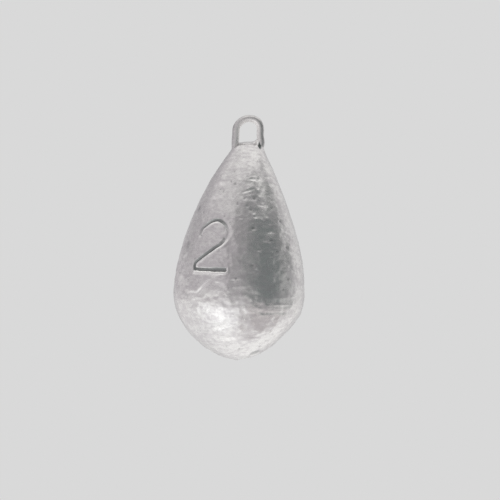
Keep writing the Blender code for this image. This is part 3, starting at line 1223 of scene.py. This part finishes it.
def surround_with_panels(settings):
    """A world of soft panels for the metal to reflect. The camera sees the plain backdrop."""
    world = bpy.data.worlds.new("studio")
    bpy.context.scene.world = world
    world.use_nodes = True
    tree = world.node_tree
    background = tree.nodes["Background"]
    direction = tree.nodes.new("ShaderNodeTexCoord").outputs["Generated"]
    parts = tree.nodes.new("ShaderNodeSeparateXYZ")
    link(tree, direction, parts.inputs[0])
    towards_front = math_node(tree, "MULTIPLY", parts.outputs["Y"], -1.0)
    azimuth = math_node(tree, "ARCTAN2", parts.outputs["X"], towards_front)
    elevation = math_node(tree, "ARCSINE", parts.outputs["Z"])
    ragged = noise_node(tree, direction, PANEL_RAG_SCALE, detail=3.0, roughness=0.55)
    ragged = ramp_node(tree, ragged, *PANEL_RAG_SPAN, -PANEL_RAG, PANEL_RAG, smooth=False)
    azimuth = math_node(tree, "ADD", azimuth, ragged)
    elevation = math_node(tree, "SUBTRACT", elevation, ragged)
    color = SURROUND_COLOR
    for turn, half_width, rise, half_height, softness, share, panel in PANELS.values():
        amount = place_group(
            tree,
            soft_panel_group(),
            direction_azimuth=azimuth,
            direction_elevation=elevation,
            azimuth=math.radians(turn),
            half_width=math.radians(half_width),
            elevation=math.radians(rise),
            half_height=math.radians(half_height),
            softness=math.radians(softness),
        )["Amount"]
        color = mix_node(tree, math_node(tree, "MULTIPLY", amount, share), color, panel)
    path = tree.nodes.new("ShaderNodeLightPath")
    seen = mix_node(tree, path.outputs["Is Camera Ray"], color, settings.backdrop_color)
    link(tree, seen, background.inputs["Color"])


def lay_floor(settings):
    """A wide plain floor, far below the hanging bob, of the backdrop's own tone."""
    shape = bmesh.new()
    bmesh.ops.create_grid(shape, x_segments=1, y_segments=1, size=FLOOR_HALF_WIDTH)
    mesh = bpy.data.meshes.new("studio_floor")
    shape.to_mesh(mesh)
    shape.free()
    floor = bpy.data.objects.new("studio_floor", mesh)
    bpy.context.scene.collection.objects.link(floor)
    floor.location.z = POINT_Z - settings.floor_drop
    material = bpy.data.materials.new("studio_floor")
    material.use_nodes = True
    tree = material.node_tree
    tree.nodes.remove(tree.nodes["Principled BSDF"])
    glow = tree.nodes.new("ShaderNodeEmission")
    glow.inputs["Color"].default_value = (*settings.backdrop_color, 1.0)
    link(tree, glow.outputs[0], tree.nodes["Material Output"].inputs["Surface"])
    mesh.materials.append(material)
    floor.visible_glossy = False
    floor.visible_diffuse = False
    floor.visible_shadow = False


def towards(azimuth, elevation):
    """The direction at that azimuth and elevation, in degrees."""
    turn, rise = math.radians(azimuth), math.radians(elevation)
    level = math.cos(rise)
    return Vector((math.sin(turn) * level, -math.cos(turn) * level, math.sin(rise)))


def hang_lamp(settings, centre):
    """A low softbox on the left that puts the bright spot on the drop's belly."""
    light = bpy.data.lights.new("softbox", "AREA")
    light.shape = "DISK"
    light.size = LAMP_SIZE
    light.energy = settings.lamp_power
    lamp = bpy.data.objects.new("softbox", light)
    bpy.context.scene.collection.objects.link(lamp)
    out = towards(*LAMP_TOWARDS)
    lamp.location = centre + out * LAMP_DISTANCE
    lamp.rotation_mode = "QUATERNION"
    lamp.rotation_quaternion = out.to_track_quat("Z", "Y")
    lamp.visible_camera = False


def aim_camera(settings, centre):
    """Square on to the front, a little off centre, with the bob leaning to the right."""
    data = bpy.data.cameras.new("camera")
    data.lens = LENS
    data.sensor_width = SENSOR_WIDTH
    data.clip_start = NEAREST_SEEN
    data.clip_end = FARTHEST_SEEN
    camera = bpy.data.objects.new("camera", data)
    bpy.context.scene.collection.objects.link(camera)
    distance = settings.view_height * LENS / SENSOR_WIDTH
    camera.location = centre + AIM_OFFSET - Vector((0, distance, 0))
    camera.rotation_euler = (math.radians(90), -settings.lean, 0)
    bpy.context.scene.camera = camera


# ---------------------------------------------------------------- operators and panel
class OBJECT_OT_plumb_bob_drop(bpy.types.Operator):
    """Cast the lead drop with its numeral, seam and wear"""

    bl_idname = "object.plumb_bob_drop"
    bl_label = "Cast Lead Drop"

    def execute(self, context):
        scene = context.scene
        mesh = drop_mesh(scene.bob_drop, scene.bob_eye)
        add_piece("lead_drop", mesh, cast_lead(scene.bob_drop), "lead_body")
        return {"FINISHED"}


class OBJECT_OT_plumb_bob_eye(bpy.types.Operator):
    """Bend the wire eye that is cast into the crown"""

    bl_idname = "object.plumb_bob_eye"
    bl_label = "Bend Wire Eye"

    def execute(self, context):
        eye = context.scene.bob_eye
        add_piece("eye_wire", wire_mesh(eye), tinned_wire(eye), "wire_eye")
        return {"FINISHED"}


class OBJECT_OT_plumb_bob_studio(bpy.types.Operator):
    """Set up the pale floor, the soft light and the camera"""

    bl_idname = "object.plumb_bob_studio"
    bl_label = "Set Up Studio"

    def execute(self, context):
        settings = context.scene.bob_studio
        low, high = CAD_BOX
        centre = (low + high) / 2
        surround_with_panels(settings)
        lay_floor(settings)
        hang_lamp(settings, centre)
        aim_camera(settings, centre)
        context.scene.view_settings.view_transform = "Standard"
        return {"FINISHED"}


class VIEW3D_PT_plumb_bob(bpy.types.Panel):
    """The plumb bob's settings and steps"""

    bl_idname = "VIEW3D_PT_plumb_bob"
    bl_label = "Plumb Bob"
    bl_space_type = "VIEW_3D"
    bl_region_type = "UI"
    bl_category = "Plumb Bob"

    def draw(self, context):
        scene = context.scene
        for settings, operator in (
            (scene.bob_drop, OBJECT_OT_plumb_bob_drop),
            (scene.bob_eye, OBJECT_OT_plumb_bob_eye),
            (scene.bob_studio, OBJECT_OT_plumb_bob_studio),
        ):
            box = self.layout.box()
            for name in settings.__annotations__:
                box.prop(settings, name)
            box.operator(operator.bl_idname)


CLASSES = (
    DropSettings,
    EyeSettings,
    StudioSettings,
    OBJECT_OT_plumb_bob_drop,
    OBJECT_OT_plumb_bob_eye,
    OBJECT_OT_plumb_bob_studio,
    VIEW3D_PT_plumb_bob,
)


def register():
    for cls in CLASSES:
        bpy.utils.register_class(cls)
    bpy.types.Scene.bob_drop = PointerProperty(type=DropSettings)
    bpy.types.Scene.bob_eye = PointerProperty(type=EyeSettings)
    bpy.types.Scene.bob_studio = PointerProperty(type=StudioSettings)


def unregister():
    del bpy.types.Scene.bob_studio
    del bpy.types.Scene.bob_eye
    del bpy.types.Scene.bob_drop
    for cls in reversed(CLASSES):
        bpy.utils.unregister_class(cls)


def main():
    register()
    bpy.ops.object.plumb_bob_drop()
    bpy.ops.object.plumb_bob_eye()
    bpy.ops.object.plumb_bob_studio()


if __name__ == "__main__":
    main()
